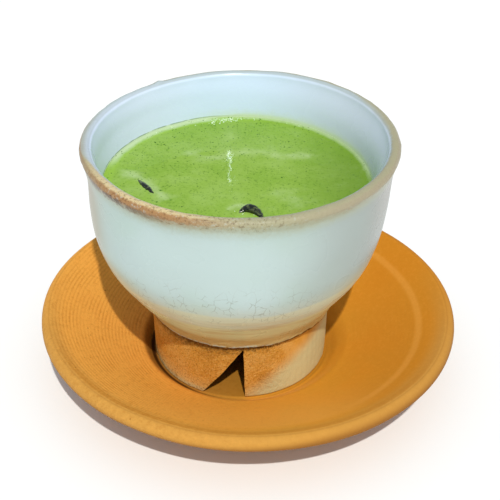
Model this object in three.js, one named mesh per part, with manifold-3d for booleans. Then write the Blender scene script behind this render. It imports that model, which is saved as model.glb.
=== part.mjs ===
// A footed, hand-thrown tea bowl filled with matcha, standing in the well of a turned wooden saucer.
// Millimetres, +Z up. The origin is the centre of the saucer's underside; the bowl's notch faces -Y.

import * as THREE from 'three';
import { mergeVertices } from 'three/addons/utils/BufferGeometryUtils.js';
import Module from 'manifold-3d';

const wasm = await Module();
wasm.setup();

const { degToRad, lerp, smoothstep } = THREE.MathUtils;

const GAP = 0.3;                  // clearance between pieces that touch
const BOWL_X = -2.95;             // the bowl stands a little left of the saucer's centre
const BOWL_SEGMENTS = 64;
const SAUCER_SEGMENTS = 84;

// Saucer
const SAUCER_LIP_CENTRE = [77.1, 22];
const SAUCER_LIP_ROUND = 3.1;     // radius of the rounded lip
const SAUCER_BASE_RADIUS = 43;
const WELL_FLOOR_RADIUS = 34.9;
const WELL_FLOOR_Z = 4.5;
const WELL_SHIFT = -1.3;          // the well's edge lies off the lip's centre by this much in X
const SAUCER_OVAL = 1.3;          // the wood has dried oval, its longest radius this much more
const SAUCER_OVAL_ANGLE = -0.275;

// Bowl
const FOOT_Z = WELL_FLOOR_Z + GAP;
const FOOT_RADIUS = 34.2;
const FOOT_ROUND = 1;
const FOOT_TOP_Z = 30.2;
const RIM_RADIUS = 57.5;
const RIM_TOP_Z = 99.3;
const LIP_HALF_WIDTH = 2.2;
const LIP_HALF_HEIGHT = 1.9;
const RIM_DIP = 1.0;              // the lip is this much lower at its lowest, back left
const RIM_DIP_ANGLE = 2.3;
const BODY_SHIFT = -0.9;          // the lower body swells this far to the left
const INSIDE_FLOOR_Z = 37.4;
const INSIDE_SHIFT = -1.15;       // the inside leans this far in X below the lip
const HOLLOW_RADIUS = 27;         // inside of the foot ring
const HOLLOW_TOP_Z = 29.2;

// Knife cut through the front of the foot ring, an inverted V given as [x from the bowl's axis, z]
const NOTCH = [[-14.6, FOOT_Z - 0.6], [1.5, 28.6], [2.3, FOOT_Z - 0.6]];
const NOTCH_FRONT_Y = -42;
const NOTCH_BACK_Y = -22;

// Tea and the two tips of ice that break its surface
const TEA_Z = 80.8;
const ICE_SIDES = 12;
const ICE_RINGS = 5;
const ICE_TAPER = 0.8;            // below 1 keeps a tip full towards its pointed ends

/** Points of a smooth curve through a few [radius, z] pairs, evenly spaced along it. */
function smooth(keys, count) {
  const curve = new THREE.SplineCurve(keys.map(([radius, z]) => new THREE.Vector2(radius, z)));
  return curve.getSpacedPoints(count).map((point) => [point.x, point.y]);
}

/** Points of an arc about a centre, as [radius, z], from one angle to another in degrees. */
function arc([radius, z], halfWidth, halfHeight, from, to, count) {
  return Array.from({ length: count + 1 }, (_, i) => {
    const angle = degToRad(lerp(from, to, i / count));
    return [radius + halfWidth * Math.cos(angle), z + halfHeight * Math.sin(angle)];
  });
}

const LIP_CENTRE = [RIM_RADIUS - LIP_HALF_WIDTH, RIM_TOP_Z - LIP_HALF_HEIGHT];

/** Saucer section: underside, thick round lip, dished top and the well with its sloping wall. */
const SAUCER_SECTION = [
  [0, 0],
  ...smooth([[SAUCER_BASE_RADIUS, 0], [52, 5.2], [66, 13.8], [76.2, 19]], 6),
  ...arc(SAUCER_LIP_CENTRE, SAUCER_LIP_ROUND, SAUCER_LIP_ROUND, -80, 110, 9),
  ...smooth([
    [75.6, 24.7], [70, 22.2], [60, 17.4], [50, 12.9], [44.5, 10.6], [41, 9.2], [38.6, 7.3], [36.6, 5.3],
    [WELL_FLOOR_RADIUS, WELL_FLOOR_Z],
  ], 12),
  [0, WELL_FLOOR_Z],
];

/** Outside of the bowl, from under the foot to the top of the lip. */
const OUTSIDE_SECTION = [
  [0, FOOT_Z],
  ...arc([FOOT_RADIUS - FOOT_ROUND, FOOT_Z + FOOT_ROUND], FOOT_ROUND, FOOT_ROUND, -90, 0, 2),
  [34.5, 18],
  ...smooth([
    [34.8, FOOT_TOP_Z], [37.6, 34.3], [42.9, 42.2], [49.6, 52.4], [53.3, 62], [54.8, 75], [55.5, 89.5],
    [56.9, 96],
  ], 14),
  ...arc(LIP_CENTRE, LIP_HALF_WIDTH, LIP_HALF_HEIGHT, 0, 90, 4),
  [0, RIM_TOP_Z],
];

/** Inside of the bowl, from the middle of its floor to the top of the lip. */
const INSIDE_SECTION = [
  ...smooth([
    [0, INSIDE_FLOOR_Z], [13, 38], [31.5, 43.2], [43.6, 53.4], [48.2, 67], [49.35, 80.8], [51.1, 91],
    [52.6, 96],
  ], 14),
  ...arc(LIP_CENTRE, LIP_HALF_WIDTH, LIP_HALF_HEIGHT, 175, 90, 4),
];

/** Hollow inside the foot ring, from its open end to the middle of its roof. */
const HOLLOW_SECTION = [
  [0, FOOT_Z - 2],
  ...smooth([[HOLLOW_RADIUS, FOOT_Z - 2], [26.4, 14], [22.5, 25.8], [15, 28.4], [0, HOLLOW_TOP_Z]], 7),
];

/** Solid of revolution about Z from a section of [radius, z] pairs that starts and ends on the axis. */
function revolve(section, segments) {
  const points = section.map(([radius, z]) => new THREE.Vector2(radius, z));
  const geometry = new THREE.LatheGeometry(points, segments);
  geometry.rotateX(Math.PI / 2);
  return geometry;
}

/** Moves every vertex by the offsets that `move` gives for its position. */
function deform(geometry, move) {
  const position = geometry.getAttribute('position');
  for (let i = 0; i < position.count; i += 1) {
    const [x, y, z] = [position.getX(i), position.getY(i), position.getZ(i)];
    const [dx, dy, dz] = move(x, y, z);
    position.setXYZ(i, x + dx, y + dy, z + dz);
  }
  return geometry;
}

/** A closed solid from a geometry, with its shared vertices merged and its faces pointing out. */
function toSolid(source) {
  const geometry = source.clone();
  geometry.deleteAttribute('normal');
  geometry.deleteAttribute('uv');
  const merged = mergeVertices(geometry, 1e-4);
  const corners = merged.getAttribute('position').array;
  const kept = [];
  for (let i = 0; i < merged.index.count; i += 3) {
    const triangle = [0, 1, 2].map((k) => merged.index.getX(i + k));
    if (new Set(triangle).size === 3) kept.push(...triangle);
  }
  const build = (indices) => new wasm.Manifold(new wasm.Mesh({
    numProp: 3, vertProperties: new Float32Array(corners), triVerts: new Uint32Array(indices),
  }));
  const solid = build(kept);
  if (solid.volume() > 0) return solid;
  for (let i = 0; i < kept.length; i += 3) [kept[i + 1], kept[i + 2]] = [kept[i + 2], kept[i + 1]];
  return build(kept);
}

/** A geometry that holds a solid's surface. */
function toGeometry(solid) {
  const mesh = solid.getMesh();
  const geometry = new THREE.BufferGeometry();
  geometry.setAttribute('position', new THREE.BufferAttribute(new Float32Array(mesh.vertProperties), 3));
  geometry.setIndex(new THREE.BufferAttribute(new Uint32Array(mesh.triVerts), 1));
  geometry.computeVertexNormals();
  return geometry;
}

/**
 * The section moved inward by `distance` along its normals, for a filling that clears the wall. A point
 * on the axis stays on it.
 */
function inset(section, distance) {
  return section.map(([radius, z], i) => {
    const before = section[Math.max(i - 1, 0)];
    const after = section[Math.min(i + 1, section.length - 1)];
    const length = Math.hypot(after[0] - before[0], after[1] - before[1]);
    const normal = [-(after[1] - before[1]) / length, (after[0] - before[0]) / length];
    return [radius === 0 ? 0 : radius + normal[0] * distance, z + normal[1] * distance];
  });
}

/** Drop of the thrown lip, which dips on one side and fades out a little below the rim. */
function lipDip(x, y, z) {
  const facing = Math.max(Math.cos(Math.atan2(y, x) - RIM_DIP_ANGLE), 0);
  return -RIM_DIP * facing ** 2 * smoothstep(z, 84, 97);
}

/** The outside of the thrown wall: the lip's dip, and the lower body swelling to one side. */
function outsideWobble(x, y, z) {
  const swell = smoothstep(z, FOOT_TOP_Z, 42) * (1 - smoothstep(z, 60, 90));
  return [BODY_SHIFT * swell, 0, lipDip(x, y, z)];
}

/** The inside of the thrown wall: the lip's dip, and a lean that is full from just below it. */
function insideWobble(x, y, z) {
  return [INSIDE_SHIFT * smoothstep(RIM_TOP_Z - z, 1, 12), 0, lipDip(x, y, z)];
}

/** The saucer is a little oval. Its well lies off centre, and the well's floor follows the foot. */
function saucerWobble(x, y) {
  const radius = Math.hypot(x, y);
  const angle = Math.atan2(y, x);
  const oval = SAUCER_OVAL * Math.cos(2 * (angle - SAUCER_OVAL_ANGLE)) * smoothstep(radius, 44, 76);
  const edge = WELL_SHIFT * (1 - smoothstep(radius, 44, 76));
  const floor = (BOWL_X - WELL_SHIFT) * (1 - smoothstep(radius, 35, 41));
  return [oval * Math.cos(angle) + edge + floor, oval * Math.sin(angle), 0];
}

/**
 * A tip of ice along a level, bent spine, pointed at both ends. Its sections are half ellipses above
 * and below the tea, and all sizes swell with the sine of the way along it.
 */
function iceTip({ start, bend, end, halfWidth, above, below }, grow) {
  const place = ([x, y]) => new THREE.Vector3(x, y, TEA_Z);
  const spine = new THREE.QuadraticBezierCurve3(place(start), place(bend), place(end));
  const rings = Array.from({ length: ICE_RINGS }, (_, i) => {
    const along = (i + 1) / (ICE_RINGS + 1);
    const swell = Math.sin(along * Math.PI) ** ICE_TAPER;
    const tangent = spine.getTangent(along);
    const side = new THREE.Vector3(-tangent.y, tangent.x, 0).normalize();
    return Array.from({ length: ICE_SIDES }, (__, k) => {
      const angle = (k / ICE_SIDES) * 2 * Math.PI;
      const height = Math.sin(angle) > 0 ? above : below;
      const lift = Math.sin(angle) * (height * swell + grow);
      const out = Math.cos(angle) * (halfWidth * swell + grow);
      return spine.getPoint(along).addScaledVector(side, out).setZ(TEA_Z + lift);
    });
  });
  const tips = [0, 1].map((along) => {
    const outward = spine.getTangent(along).multiplyScalar(along === 0 ? -grow : grow);
    return spine.getPoint(along).add(outward);
  });
  const vertices = [tips[0], ...rings.flat(), tips[1]];
  const ring = (i, k) => 1 + i * ICE_SIDES + (k % ICE_SIDES);
  const last = vertices.length - 1;
  const indices = [];
  for (let k = 0; k < ICE_SIDES; k += 1) {
    indices.push(0, ring(0, k), ring(0, k + 1));
    for (let i = 0; i + 1 < rings.length; i += 1) {
      indices.push(ring(i, k), ring(i + 1, k), ring(i, k + 1));
      indices.push(ring(i + 1, k), ring(i + 1, k + 1), ring(i, k + 1));
    }
    indices.push(ring(rings.length - 1, k), last, ring(rings.length - 1, k + 1));
  }
  const geometry = new THREE.BufferGeometry();
  geometry.setAttribute('position', new THREE.BufferAttribute(
    new Float32Array(vertices.flatMap((v) => [v.x, v.y, v.z])), 3));
  geometry.setIndex(indices);
  return toSolid(geometry);
}

/** Straight wedge that the potter's knife takes out of the foot ring. */
function notchCutter() {
  const shape = new THREE.Shape(NOTCH.map(([x, z]) => new THREE.Vector2(x, z)));
  const geometry = new THREE.ExtrudeGeometry(shape, {
    depth: NOTCH_BACK_Y - NOTCH_FRONT_Y, bevelEnabled: false,
  });
  geometry.rotateX(Math.PI / 2);
  geometry.translate(0, NOTCH_BACK_Y, 0);
  return toSolid(geometry);
}

/** The bowl: its outside less its inside, the hollow of the foot ring and the notch. */
function makeBowl() {
  const above = RIM_TOP_Z + 4;
  const inside = [...INSIDE_SECTION, [LIP_CENTRE[0], above], [0, above]];
  return toSolid(deform(revolve(OUTSIDE_SECTION, BOWL_SEGMENTS), outsideWobble))
    .subtract(toSolid(deform(revolve(inside, BOWL_SEGMENTS), insideWobble)))
    .subtract(toSolid(revolve(HOLLOW_SECTION, BOWL_SEGMENTS)))
    .subtract(notchCutter());
}

/** The tea: what the inside of the bowl holds up to the level, cut round the tips of ice. */
function makeTea(tips) {
  const wall = inset(INSIDE_SECTION, GAP);
  const filling = deform(revolve([...wall, [0, RIM_TOP_Z]], BOWL_SEGMENTS), insideWobble);
  const tea = toSolid(filling).trimByPlane([0, 0, -1], -TEA_Z);
  return tips.reduce((solid, tip) => solid.subtract(iceTip(tip, GAP)), tea);
}

const glaze = new THREE.MeshStandardMaterial({ color: 0xccdcd6, roughness: 0.22 });
const wood = new THREE.MeshStandardMaterial({ color: 0xcf8a33, roughness: 0.55 });
const matcha = new THREE.MeshStandardMaterial({ color: 0x96c24a, roughness: 0.3 });
const ice = new THREE.MeshStandardMaterial({ color: 0x1d2a1a, roughness: 0.12 });

/** The two tips of ice, in X and Y from the bowl's axis, with their sizes about the tea's level. */
const LEFT_TIP = {
  start: [-37.8, -0.5], bend: [-33.9, -5.6], end: [-31, -9.3], halfWidth: 1.5, above: 1.2, below: 1.9,
};
const FRONT_TIP = {
  start: [-0.3, -23.2], bend: [4.1, -17.5], end: [7.7, -26.6], halfWidth: 1.9, above: 2.5, below: 2.4,
};

const teaBowl = new THREE.Group();
const filledBowl = new THREE.Group();
filledBowl.position.x = BOWL_X;
teaBowl.add(filledBowl);

const addPiece = (parent, name, solid, material) => {
  const mesh = new THREE.Mesh(toGeometry(solid), material);
  mesh.name = name;
  parent.add(mesh);
};

addPiece(teaBowl, 'saucer', toSolid(deform(revolve(SAUCER_SECTION, SAUCER_SEGMENTS), saucerWobble)), wood);
addPiece(filledBowl, 'bowl', makeBowl(), glaze);
addPiece(filledBowl, 'tea', makeTea([LEFT_TIP, FRONT_TIP]), matcha);
addPiece(filledBowl, 'ice_tip_left', iceTip(LEFT_TIP, 0), ice);
addPiece(filledBowl, 'ice_tip_front', iceTip(FRONT_TIP, 0), ice);

export default teaBowl;
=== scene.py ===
"""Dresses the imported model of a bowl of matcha: a thrown, glazed tea bowl on a turned wooden saucer.

Sizes are in millimetres until a mesh is made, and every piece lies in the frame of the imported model:
the origin is the middle of the saucer's underside, +Z is up and the bowl's notch faces -Y.
"""

import logging
import math
from dataclasses import dataclass
from enum import Enum
from typing import Optional, Union

import bpy
import numpy as np
from mathutils import Matrix, Vector


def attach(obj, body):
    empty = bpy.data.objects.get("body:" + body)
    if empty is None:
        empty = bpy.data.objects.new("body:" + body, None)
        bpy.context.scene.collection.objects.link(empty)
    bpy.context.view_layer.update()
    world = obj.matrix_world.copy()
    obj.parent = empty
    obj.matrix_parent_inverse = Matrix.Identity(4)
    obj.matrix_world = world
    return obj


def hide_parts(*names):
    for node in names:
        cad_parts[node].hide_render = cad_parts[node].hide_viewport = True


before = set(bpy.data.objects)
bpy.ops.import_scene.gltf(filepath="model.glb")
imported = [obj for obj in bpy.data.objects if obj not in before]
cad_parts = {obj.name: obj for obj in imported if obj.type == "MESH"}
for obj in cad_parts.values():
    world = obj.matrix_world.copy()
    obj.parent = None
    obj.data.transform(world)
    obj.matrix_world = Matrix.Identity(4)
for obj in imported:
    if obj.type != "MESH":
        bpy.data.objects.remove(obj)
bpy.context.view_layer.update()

log = logging.getLogger("matcha")

MM = 0.001
SHARP_DEGREES = 50

# Millimetres that several pieces share, and angles round the lip from +X in radians
BOWL_X = -2.95
RIM_TOP_Z = 99.3
LIP_CENTRE = (55.3, 97.4)
LIP_HALF = (2.2, 1.9)
WELL_FLOOR_Z = 4.5
TEA_Z = 80.8
LIP_DIP = 1.0
LIP_DIP_AT = 2.3
BLOB_AT = 2.20
BLOB_HEIGHT = 0.75
INSIDE_LEAN = -1.15
INSIDE_KEYS = ((0, 37.4), (13, 38), (31.5, 43.2), (43.6, 53.4), (48.2, 67), (49.35, 80.8), (51.1, 91),
               (52.6, 96))


# Shapes


def smoothstep(value: np.ndarray, low: float, high: float) -> np.ndarray:
    """0 below `low`, 1 above `high`, and the cubic 3t^2 - 2t^3 between them."""
    t = np.clip((value - low) / (high - low), 0, 1)
    return t * t * (3 - 2 * t)


def between(value: np.ndarray, rise: float, full: float, fade: float, gone: float) -> np.ndarray:
    """0 below `rise`, 1 from `full` to `fade` and 0 above `gone`: two smoothsteps multiplied."""
    return smoothstep(value, rise, full) * (1 - smoothstep(value, fade, gone))


def smooth_curve(keys: tuple, count: int) -> np.ndarray:
    """Even points on a smooth curve through a few keys.

    Between two keys each coordinate is the cubic that meets them with slopes of half the chord
    between their neighbours; the points are then spaced evenly along its length.

    Args:
        keys: [radius, z] pairs, in order.
        count: how many points, ends included.

    Returns:
        Array of `count` [radius, z] rows.
    """
    key = np.asarray(keys, float)
    padded = np.vstack([key[:1], key, key[-1:]])
    t = np.linspace(0, len(key) - 1, 60 * len(key))
    i = np.minimum(t.astype(int), len(key) - 2)
    u = (t - i)[:, None]
    start, stop = padded[i + 1], padded[i + 2]
    leave, arrive = (stop - padded[i]) / 2, (padded[i + 3] - start) / 2
    fine = ((2 * start - 2 * stop + leave + arrive) * u**3
            + (3 * stop - 3 * start - 2 * leave - arrive) * u**2 + leave * u + start)
    length = np.concatenate([[0], np.cumsum(np.hypot(*np.diff(fine, axis=0).T))])
    even = np.linspace(0, length[-1], count)
    return np.column_stack([np.interp(even, length, fine[:, k]) for k in (0, 1)])


def arc(centre: tuple, half: tuple, start: float, stop: float, count: int) -> np.ndarray:
    """Points of an ellipse arc in a section: centre plus half sizes times cosine and sine.

    Args:
        centre: [radius, z] of its middle.
        half: half width and half height.
        start: first angle, in degrees.
        stop: last angle, in degrees.
        count: how many points.

    Returns:
        Array of `count` [radius, z] rows.
    """
    angle = np.radians(np.linspace(start, stop, count))
    return np.column_stack([centre[0] + half[0] * np.cos(angle), centre[1] + half[1] * np.sin(angle)])


def ripple(points: np.ndarray, size: float, seed: int, waves: int = 28) -> np.ndarray:
    """Smooth noise of about unit strength: plane sine waves of random heading and phase, added up.

    Args:
        points: places in millimetres, one a row.
        size: the usual length of a wave.
        seed: seeds the draw.
        waves: how many waves are added.

    Returns:
        One value a place.
    """
    draw = np.random.default_rng(seed)
    heading = draw.normal(size=(waves, points.shape[1]))
    heading /= np.linalg.norm(heading, axis=1, keepdims=True)
    length = size * draw.uniform(0.7, 1.6, waves)
    phase = draw.uniform(0, 2 * math.pi, waves)
    turns = points @ (heading * (2 * math.pi / length)[:, None]).T + phase
    return np.sin(turns).sum(axis=1) / math.sqrt(waves / 2)


def ring_faces(rows: int, columns: int) -> list:
    """Quads between rows of vertices, each row a closed ring of `columns` vertices.

    Args:
        rows: how many rows.
        columns: how many vertices a row.

    Returns:
        Four vertex numbers a face.
    """
    row, col = np.meshgrid(np.arange(rows - 1), np.arange(columns), indexing="ij")
    a, b = row * columns + col, row * columns + (col + 1) % columns
    return np.stack([a, b, b + columns, a + columns], axis=-1).reshape(-1, 4).tolist()


def shell_faces(rows: int, columns: int) -> list:
    """Faces of a closed shell: quads between its rings, triangles to the two poles numbered after them.

    Args:
        rows: how many rings.
        columns: how many vertices a ring.

    Returns:
        Vertex numbers of each face.
    """
    here, after = np.arange(columns), (np.arange(columns) + 1) % columns
    pole, end = np.full(columns, rows * columns), (rows - 1) * columns
    return (ring_faces(rows, columns) + np.column_stack([pole, after, here]).tolist()
            + np.column_stack([pole + 1, end + here, end + after]).tolist())


def lathe(section: np.ndarray, columns: int) -> tuple[np.ndarray, list]:
    """A section turned about Z into a closed shell: x = r cos a, y = r sin a.

    Args:
        section: [radius, z] rows that start and end on the axis.
        columns: how many steps round the axis.

    Returns:
        Vertices in millimetres, and faces that are quads with triangles round the two poles.
    """
    inner = section[1:-1]
    radius, z = np.repeat(inner, columns, axis=0).T
    turn = np.tile(np.arange(columns) * 2 * math.pi / columns, len(inner))
    ring = np.column_stack([radius * np.cos(turn), radius * np.sin(turn), z])
    poles = np.array([[0, 0, section[0, 1]], [0, 0, section[-1, 1]]])
    return np.vstack([ring, poles]), shell_faces(len(inner), columns)


def turned_inside_out(points: np.ndarray, faces: list) -> bool:
    """Whether a closed mesh's faces point inwards, from the sign of its volume.

    Args:
        points: vertices, one a row.
        faces: vertex numbers of each face.

    Returns:
        True if they do.
    """
    rest = [[face[0], face[2], face[3]] for face in faces if len(face) == 4]
    three = np.array([face[:3] for face in faces] + rest)
    a, b, c = (points[three[:, k]] for k in range(3))
    return float(np.einsum("ij,ij->i", a, np.cross(b, c)).sum()) < 0


def put_in_scene(name: str, data: bpy.types.ID) -> bpy.types.Object:
    """A new object that holds the mesh, light or camera given, linked to the scene.

    Args:
        name: the object's name.
        data: what it holds.

    Returns:
        The object.
    """
    thing = bpy.data.objects.new(name, data)
    bpy.context.scene.collection.objects.link(thing)
    return thing


def make_piece(name: str, points: np.ndarray, faces: list) -> bpy.types.Object:
    """A smooth-shaded object at the origin, from vertices in millimetres in the model's frame.

    Args:
        name: the piece's name.
        points: vertices, one a row.
        faces: vertex numbers of each face, of a closed mesh.

    Returns:
        The object, linked to the scene.
    """
    if turned_inside_out(points, faces):
        faces = [face[::-1] for face in faces]
    mesh = bpy.data.meshes.new(name)
    mesh.from_pydata((points * MM).tolist(), [], faces)
    mesh.shade_smooth()
    mesh.set_sharp_from_angle(angle=math.radians(SHARP_DEGREES))
    return put_in_scene(name, mesh)


def mark(piece: bpy.types.Object, name: str, values: np.ndarray) -> None:
    """Stores one number a vertex under a name that the piece's material reads."""
    layer = piece.data.attributes.new(name, "FLOAT", "POINT")
    layer.data.foreach_set("value", np.ascontiguousarray(values, np.float32))


def places(piece: bpy.types.Object) -> np.ndarray:
    """The vertices of a piece, in millimetres, one a row.

    Args:
        piece: the object to read.

    Returns:
        Array of x, y, z rows.
    """
    flat = np.empty(len(piece.data.vertices) * 3, np.float32)
    piece.data.vertices.foreach_get("co", flat)
    return flat.reshape(-1, 3).astype(float) / MM


def cut_away(piece: bpy.types.Object, tool: bpy.types.Object) -> None:
    """Takes the tool's volume out of the piece for good, and removes the tool.

    Args:
        piece: the object that is cut.
        tool: the closed shape that cuts it.
    """
    cut = piece.modifiers.new("cut", "BOOLEAN")
    cut.operation = "DIFFERENCE"
    cut.solver = "EXACT"
    cut.object = tool
    evaluated = piece.evaluated_get(bpy.context.evaluated_depsgraph_get())
    result = bpy.data.meshes.new_from_object(evaluated)
    piece.modifiers.clear()
    whole, piece.data = piece.data, result
    result.name = piece.name
    bpy.data.meshes.remove(whole)
    shape = tool.data
    bpy.data.objects.remove(tool)
    bpy.data.meshes.remove(shape)


def lip_dip(x: np.ndarray, y: np.ndarray, z: np.ndarray) -> np.ndarray:
    """How far the lip lies below level: 1 mm at its lowest, as the squared cosine of the way round."""
    facing = np.maximum(np.cos(np.arctan2(y, x) - LIP_DIP_AT), 0)
    return -LIP_DIP * facing**2 * smoothstep(z, 84, 97)


def rim_blob(x: np.ndarray, y: np.ndarray, z: np.ndarray) -> np.ndarray:
    """A small blob of glaze on the far left of the lip, a bell curve of the distance along the rim."""
    away = np.hypot(x - 55.5 * math.cos(BLOB_AT), y - 55.5 * math.sin(BLOB_AT))
    return BLOB_HEIGHT * np.exp(-(away / 1.5) ** 2) * smoothstep(z, 94, 97)


def inside_lean(z: np.ndarray) -> np.ndarray:
    """How far in X the inside of the bowl leans, none at the lip and full 12 mm below it."""
    return INSIDE_LEAN * smoothstep(RIM_TOP_Z - z, 1, 12)


# Finishes


def paint(red: int, green: int, blue: int) -> tuple:
    """A colour picked on the usual 0 to 255 scale, as the linear values that a shader wants."""
    scaled = (c / 255 for c in (red, green, blue))
    return (*(c / 12.92 if c <= 0.04045 else ((c + 0.055) / 1.055) ** 2.4 for c in scaled), 1.0)


class Operation(Enum):
    """What a Math node does."""

    ADD = "ADD"
    SUBTRACT = "SUBTRACT"
    MULTIPLY = "MULTIPLY"
    DIVIDE = "DIVIDE"
    MAXIMUM = "MAXIMUM"
    ABSOLUTE = "ABSOLUTE"
    SQRT = "SQRT"
    ARCTAN2 = "ARCTAN2"
    LESS_THAN = "LESS_THAN"


@dataclass
class Field:
    """A node's output, with arithmetic that adds further nodes to the same tree."""

    weaver: "Weaver"
    output: bpy.types.NodeSocket

    def __add__(self, other: "Input") -> "Field":
        """The sum."""
        return self.weaver.math(Operation.ADD, self, other)

    def __sub__(self, other: "Input") -> "Field":
        """The difference."""
        return self.weaver.math(Operation.SUBTRACT, self, other)

    def __rsub__(self, other: "Input") -> "Field":
        """The difference the other way round."""
        return self.weaver.math(Operation.SUBTRACT, other, self)

    def __mul__(self, other: "Input") -> "Field":
        """The product, also of two masks."""
        return self.weaver.math(Operation.MULTIPLY, self, other)

    def __truediv__(self, other: "Input") -> "Field":
        """The quotient."""
        return self.weaver.math(Operation.DIVIDE, self, other)

    def __abs__(self) -> "Field":
        """The value without its sign."""
        return self.weaver.math(Operation.ABSOLUTE, self)

    def step(self, low: "Input", high: "Input") -> "Field":
        """A mask: 0 below `low` and 1 above `high`, smoothly; high may be the lower of the two."""
        node = self.weaver.add("ShaderNodeMapRange", {"Value": self, "From Min": low, "From Max": high},
                               interpolation_type="SMOOTHSTEP")
        return Field(self.weaver, node.outputs["Result"])

    def between(self, rise: "Input", full: "Input", fade: "Input", gone: "Input") -> "Field":
        """A mask: 0 below `rise`, 1 from `full` to `fade` and 0 above `gone`, smoothly."""
        return self.step(rise, full) * self.step(gone, fade)


Input = Union[Field, bpy.types.NodeSocket, float, tuple]


@dataclass
class Coat:
    """A colour that further colours are laid over."""

    weaver: "Weaver"
    colour: Input

    def lay(self, colour: Input, mask: Field) -> None:
        """Lays one more colour over the coat, where the mask is."""
        self.colour = self.weaver.over(mask, self.colour, colour)


class Weaver:
    """Adds nodes to one tree and links them. Its methods return the output that they made."""

    def __init__(self, tree: bpy.types.NodeTree) -> None:
        """Starts on a tree."""
        self.tree = tree

    def add(self, kind: str, inputs: Optional[dict] = None, **settings) -> bpy.types.Node:
        """A new node.

        Args:
            kind: its type.
            inputs: what feeds its inputs, by name or number.
            settings: its own settings.

        Returns:
            The node.
        """
        node = self.tree.nodes.new(kind)
        for name, value in settings.items():
            setattr(node, name, value)
        for name, value in (inputs or {}).items():
            self.feed(node.inputs[name], value)
        return node

    def feed(self, socket: bpy.types.NodeSocket, value: Optional[Input]) -> None:
        """Links an output to an input, or sets a plain value on it; None leaves it as it is."""
        if isinstance(value, Field):
            value = value.output
        if isinstance(value, bpy.types.NodeSocket):
            self.tree.links.new(value, socket)
        elif value is not None:
            socket.default_value = value

    def where(self, shift: tuple = (0, 0, 0), stretch: tuple = (1, 1, 1)) -> bpy.types.NodeSocket:
        """Object coordinates, moved by a shift in millimetres and then stretched."""
        node = self.add("ShaderNodeMapping", {
            "Vector": self.add("ShaderNodeTexCoord").outputs["Object"], "Scale": stretch,
            "Location": [s * MM * k for s, k in zip(shift, stretch)]}, vector_type="POINT")
        return node.outputs["Vector"]

    def split(self, vector: bpy.types.NodeSocket) -> tuple:
        """The X, Y and Z of a vector."""
        return tuple(Field(self, part) for part in self.add("ShaderNodeSeparateXYZ", {0: vector}).outputs)

    def noise(self, size: float, where: Optional[Input] = None, detail: float = 3, rough: float = 0.5,
              bend: float = 0) -> Field:
        """Soft noise.

        Args:
            size: how wide its blotches are, in millimetres.
            where: the coordinates that it reads, or plain object coordinates.
            detail: how many finer layers it has.
            rough: how strong the finer layers are.
            bend: how far it bends its own blotches.

        Returns:
            A value from 0 to 1.
        """
        node = self.add("ShaderNodeTexNoise", {
            "Vector": self.where() if where is None else where, "Scale": 0.5 / (size * MM),
            "Detail": detail, "Roughness": rough, "Distortion": bend})
        return Field(self, node.outputs["Fac"])

    def math(self, operation: Operation, *values: Input) -> Field:
        """A Math node over the values."""
        node = self.add("ShaderNodeMath", dict(enumerate(values)), operation=operation.value)
        return Field(self, node.outputs[0])

    def over(self, mask: Field, under: Input, top: Input) -> Field:
        """One colour laid over another where the mask is."""
        node = self.add("ShaderNodeMix", {0: mask, 6: under, 7: top}, data_type="RGBA")
        return Field(self, node.outputs[2])

    def attribute(self, name: str) -> Field:
        """A number that the piece stores for each vertex."""
        return Field(self, self.add("ShaderNodeAttribute", attribute_name=name).outputs["Fac"])

    def group(self, tree: bpy.types.NodeTree, **inputs: Input) -> Field:
        """The result of a placed node group, whose inputs are given by name."""
        return Field(self, self.add("ShaderNodeGroup", inputs, node_tree=tree).outputs[0])

    def bump(self, height: Field, depth: float, under: Optional[Input] = None) -> bpy.types.NodeSocket:
        """A normal from a height of 0 to 1 that stands for `depth` millimetres."""
        node = self.add("ShaderNodeBump", {"Height": height, "Distance": depth * MM, "Strength": 1.0,
                                           "Normal": under})
        return node.outputs["Normal"]


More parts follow.
